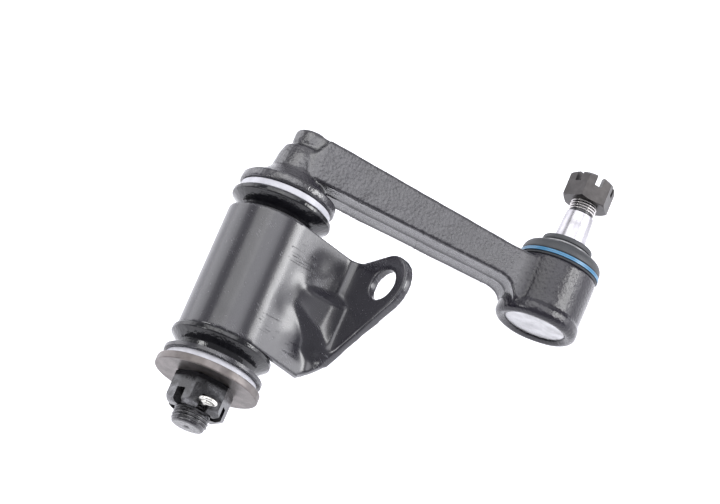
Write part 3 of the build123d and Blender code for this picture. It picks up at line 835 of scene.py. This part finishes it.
class IDLER_OT_forging(bpy.types.Operator):
    """Paint the forged arm, with cast grain under the paint"""

    bl_idname = "idler.forging"
    bl_label = "Forging"

    def execute(self, context):
        finish = context.scene.idler_finish
        paint = cast_paint("forging_black", tuple(finish.cast_black), 620, 0.0006)
        dress("arm_forging", paint)
        filler = []
        for step in range(24):
            angle = 2 * math.pi * step / 24
            side = Vector((math.cos(angle), math.sin(angle), 0)) * FILLER_RADIUS
            filler += [PIVOT + side + Vector((0, 0, z)) for z in FILLER_HEIGHTS]
        for along, across, z in FILLER_CORNERS:
            for side in (-1, 1):
                corner = PIVOT + ARM_DIRECTION * along + ARM_SIDE * across * side
                filler.append(corner + Vector((0, 0, z)))
        mesh = even_copy("forged_arm", "arm_forging", MESH_CELL, [filler])
        points = mesh_points(mesh)
        top = (PIVOT.x, PIVOT.y, HEAD_HEIGHT)
        soften(mesh, near(points, top, 0.010, 0.016), 6)
        soften(mesh, numpy.ones(len(points)), 1)
        roughen(mesh, SKIN_SCALE, SKIN_DEPTH)
        arm = add_piece("forged_arm", mesh, paint)
        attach(arm, "arm")
        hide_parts("arm_forging")
        return {"FINISHED"}


class IDLER_OT_pivot_rings(bpy.types.Operator):
    """Finish the bushes, seals, white rings, plate and washer on the pivot"""

    bl_idname = "idler.pivot_rings"
    bl_label = "Pivot rings"

    def execute(self, context):
        finish = context.scene.idler_finish
        white = moulded("ring_white", (0.52, 0.52, 0.56), 0.42)
        dress("upper_thrust_ring", white)
        dress("lower_thrust_ring", white)
        bush = moulded("bush_plastic", (0.62, 0.6, 0.52), 0.4)
        shade = bush.shader.inputs["Base Color"].links[0].from_socket
        sprayed = bush.distance(PIVOT, *BUSH_SPRAY_RADII)
        bush.colour(bush.mix(sprayed, shade, OVERSPRAY))
        dress("upper_bush", bush)
        dress("lower_bush", bush)
        seal = moulded("seal_rubber", (0.006, 0.006, 0.008), 0.09)
        seal.bump(seal.noise(330, detail=3, rough=0.6), 0.55, 0.0005)
        dress("upper_dust_seal", seal)
        dress("lower_dust_seal", seal)
        dress("lower_seal_plate", gloss_paint("plate_black", tuple(finish.gloss_black)))
        dress("pivot_washer", plain_metal("washer_steel", tuple(finish.washer_grey), 0.42))
        return {"FINISHED"}


class IDLER_OT_nuts(bpy.types.Operator):
    """Finish the two castle nuts and the split pin"""

    bl_idname = "idler.nuts"
    bl_label = "Nuts and split pin"

    def execute(self, context):
        finish = context.scene.idler_finish
        nut = sprayed_steel("pivot_nut_steel", PIVOT_STEEL, 0.3, 0.56, *PIVOT_NUT_TOP)
        dress("pivot_castle_nut", nut)
        dress("stud_castle_nut", sprayed_steel("stud_nut_steel", tuple(finish.nut_grey), 0.42, 0.3))
        dress("pivot_split_pin", plain_metal("pin_steel", (0.75, 0.74, 0.7), 0.3))
        thread = thread_mesh("pivot_thread", PIVOT, *PIVOT_THREAD)
        ridge = add_piece("pivot_thread", thread, sprayed_steel("pivot_thread_steel", PIVOT_STEEL, 0.3))
        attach(ridge, "arm")
        return {"FINISHED"}


class IDLER_OT_ball_joint(bpy.types.Operator):
    """Finish the stud, cap, seats, spring washer and boot rings"""

    bl_idname = "idler.ball_joint"
    bl_label = "Ball joint"

    def execute(self, context):
        finish = context.scene.idler_finish
        bright = tuple(finish.bright_steel)
        stud = plain_metal("stud_steel", bright, 0.3, turned_about=BALL_AXIS, painted_shade_above=STUD_BRIGHT_TOP)
        dress("ball_stud", stud)
        thread = thread_mesh("stud_thread", BALL_AXIS, *STUD_THREAD)
        ridge_steel = plain_metal("stud_thread_steel", (0.6, 0.58, 0.57), 0.25)
        ridge = add_piece("stud_thread", thread, ridge_steel)
        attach(ridge, "stud")
        dress("housing_cap", plain_metal("cap_zinc", (0.5, 0.5, 0.51), 0.34, grain=500))
        dress("seat_spring", plain_metal("spring_steel", (0.4, 0.4, 0.42), 0.35))
        seat = moulded("seat_plastic", (0.7, 0.69, 0.64), 0.5)
        dress("upper_ball_seat", seat)
        dress("lower_ball_seat", seat)
        low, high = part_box("boot_band_ring")
        ring = moulded("band_blue", tuple(finish.ring_blue), 0.3)
        blue = tuple(finish.ring_blue)
        # Painted shade: the ring's blue turns nearly black at its two edges and along a groove in its
        # middle.
        dark = tuple(part * 0.12 for part in blue)
        stops = [(0.06, dark), (0.22, blue), (0.42, blue), (0.5, dark)]
        stops += [(0.58, blue), (0.8, blue), (0.94, dark)]
        ring.colour(ring.ramp(ring.height(low.z, high.z), stops))
        dress("boot_band_ring", ring)
        dress("boot_neck_ring", plain_metal("neck_wire_steel", (0.3, 0.3, 0.31), 0.4))
        return {"FINISHED"}


class IDLER_OT_boot(bpy.types.Operator):
    """Make the rubber boot, which bends as the stud tilts"""

    bl_idname = "idler.boot"
    bl_label = "Dust boot"

    def execute(self, context):
        rubber = moulded("boot_rubber", tuple(context.scene.idler_finish.boot_grey), 0.5, 0.0001)
        low = BOOT_LOW
        profile = [
            (0.01360, low + 0.0000),
            (0.01765, low + 0.0000),
            (0.01790, low + 0.0003),
            (0.01790, low + 0.0008),
            (0.01685, low + 0.0009),
            (0.01685, low + 0.0028),
            (0.01790, low + 0.0029),
            (0.01795, low + 0.0036),
            (0.01790, low + 0.0048),
            (0.01765, low + 0.0058),
            (0.01715, low + 0.0067),
            (0.01640, low + 0.0075),
            (0.01540, low + 0.0081),
            (0.01400, low + 0.0085),
            (0.01250, low + 0.0087),
            (0.01120, low + 0.0089),
            (0.01040, low + 0.0091),
            (0.01020, low + 0.0093),
            (0.01020, low + 0.0103),
            (0.01060, low + 0.0105),
            (0.01125, low + 0.0106),
            (0.01140, low + 0.0109),
            (0.01140, low + 0.0123),
            (0.01120, low + 0.0128),
            (0.01070, low + 0.0129),
            (0.00725, low + 0.0129),
            (0.00735, low + 0.0100),
            (0.00860, low + 0.0078),
            (0.01120, low + 0.0068),
            (0.01320, low + 0.0064),
            (0.01480, low + 0.0056),
            (0.01540, low + 0.0040),
            (0.01500, low + 0.0020),
            (0.01400, low + 0.0008),
        ]
        mesh = turned_mesh("boot", profile, BALL_AXIS)
        boot = add_piece("soft_boot", mesh, rubber)
        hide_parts("dust_boot")
        base = BALL_AXIS + Vector((0, 0, low + 0.0036))
        neck = BALL_AXIS + Vector((0, 0, low + 0.0091))
        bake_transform(boot, "arm", "boot_neck", start=base, end=neck)
        return {"FINISHED"}


class IDLER_OT_studio(bpy.types.Operator):
    """Make the pale table, the soft lights and the camera"""

    bl_idname = "idler.studio"
    bl_label = "Studio"

    def execute(self, context):
        studio = context.scene.idler_studio
        right, up, back = CAMERA_RIGHT, CAMERA_UP, CAMERA_BACK
        turn = Matrix((right, up, back)).transposed()
        camera_data = bpy.data.cameras.new("camera")
        camera_data.lens = CAMERA_LENS
        camera_data.sensor_width = SENSOR_WIDTH
        camera_data.clip_end = CLIP_END
        camera = bpy.data.objects.new("camera", camera_data)
        context.scene.collection.objects.link(camera)
        camera.matrix_world = Matrix.LocRotScale(CAMERA_PLACE, turn.to_quaternion(), None)
        context.scene.camera = camera

        tilt = studio.floor_tilt
        normal = up * math.cos(tilt) + back * math.sin(tilt)
        lowest = lowest_in_travel(normal)
        foot = Vector(TABLE_MIDDLE)
        foot += normal * (lowest - foot.dot(normal))
        depth = normal.cross(right)
        work = bmesh.new()
        reach = TABLE_REACH
        corners = [(-reach, -reach), (reach, -reach), (reach, reach), (-reach, reach)]
        work.faces.new([work.verts.new(foot + right * a + depth * b) for a, b in corners])
        bmesh.ops.recalc_face_normals(work, faces=work.faces)
        mesh = bpy.data.meshes.new("table")
        work.to_mesh(mesh)
        work.free()
        if mesh.polygons[0].normal.dot(normal) < 0:
            mesh.flip_normals()
        floor = Surface("table_white")
        pale = [(0.4, (0.9, 0.9, 0.93)), (0.6, (0.92, 0.92, 0.94))]
        floor.colour(floor.ramp(floor.noise(3, detail=2), pale))
        floor.set(Roughness=0.6, Specular_IOR_Level=0.2)
        floor.set(Emission_Color=(0.93, 0.93, 1.0), Emission_Strength=0.45)
        see_through = floor.tree.nodes.new("ShaderNodeBsdfTransparent")
        side_switch = floor.tree.nodes.new("ShaderNodeMixShader")
        facing = floor.tree.nodes.new("ShaderNodeNewGeometry")
        floor.link(facing.outputs["Backfacing"], side_switch.inputs[0])
        floor.link(floor.shader.outputs[0], side_switch.inputs[1])
        floor.link(see_through.outputs[0], side_switch.inputs[2])
        output = floor.tree.nodes["Material Output"]
        floor.link(side_switch.outputs[0], output.inputs["Surface"])
        table = add_piece("table", mesh, floor, smooth=False)

        tent = LightTent("light_tent", right, up, back)
        for direction, width, strength in LIGHT_PATCHES:
            tent.lobe(direction, width, strength)
        tent.finish(LIGHT_BASE, studio.surround)
        context.scene.world = tent.world

        focus = Vector(LAMP_FOCUS)
        lamps = [
            ("overhead", normal * 1.0 + up * 0.3 - right * 0.2, 0.8, studio.soft_light),
            ("left", normal * 0.5 - right * 0.9 + back * 0.4, 0.3, studio.soft_light * 0.5),
        ]
        side_lamp = (right * 0.81 + up * 0.2 + back * 0.53) * 0.35 + BALL_AXIS
        lamps.append(("right", side_lamp + Vector((0, 0, 0.05)) - focus, 0.15, studio.soft_light * 0.12))
        for name, offset, size, power in lamps:
            lamp_data = bpy.data.lights.new(name, "AREA")
            lamp_data.shape = "SQUARE"
            lamp_data.size = size
            lamp_data.energy = power
            lamp = bpy.data.objects.new(name, lamp_data)
            context.scene.collection.objects.link(lamp)
            lamp.location = focus + offset
            lamp.rotation_euler = (-offset).to_track_quat("-Z", "Y").to_euler()
        context.scene.view_settings.view_transform = "Standard"
        return {"FINISHED"}


class IDLER_PT_panel(bpy.types.Panel):
    """Lists the arm's pieces and its studio"""

    bl_idname = "IDLER_PT_panel"
    bl_label = "Idler Arm"
    bl_space_type = "VIEW_3D"
    bl_region_type = "UI"
    bl_category = "Idler Arm"

    def draw(self, context):
        layout = self.layout
        for operator in OPERATORS:
            layout.operator(operator.bl_idname)
        for group in (context.scene.idler_finish, context.scene.idler_studio):
            box = layout.box()
            for name in group.__annotations__:
                box.prop(group, name)


OPERATORS = (
    IDLER_OT_bracket,
    IDLER_OT_forging,
    IDLER_OT_pivot_rings,
    IDLER_OT_nuts,
    IDLER_OT_ball_joint,
    IDLER_OT_boot,
    IDLER_OT_studio,
)
CLASSES = (IdlerArmFinish, IdlerArmStudio, *OPERATORS, IDLER_PT_panel)


def register():
    for cls in CLASSES:
        bpy.utils.register_class(cls)
    bpy.types.Scene.idler_finish = bpy.props.PointerProperty(type=IdlerArmFinish)
    bpy.types.Scene.idler_studio = bpy.props.PointerProperty(type=IdlerArmStudio)


def unregister():
    del bpy.types.Scene.idler_studio
    del bpy.types.Scene.idler_finish
    for cls in reversed(CLASSES):
        bpy.utils.unregister_class(cls)


def main():
    register()
    bpy.ops.idler.bracket()
    bpy.ops.idler.forging()
    bpy.ops.idler.pivot_rings()
    bpy.ops.idler.nuts()
    bpy.ops.idler.ball_joint()
    bpy.ops.idler.boot()
    bpy.ops.idler.studio()


if __name__ == "__main__":
    main()
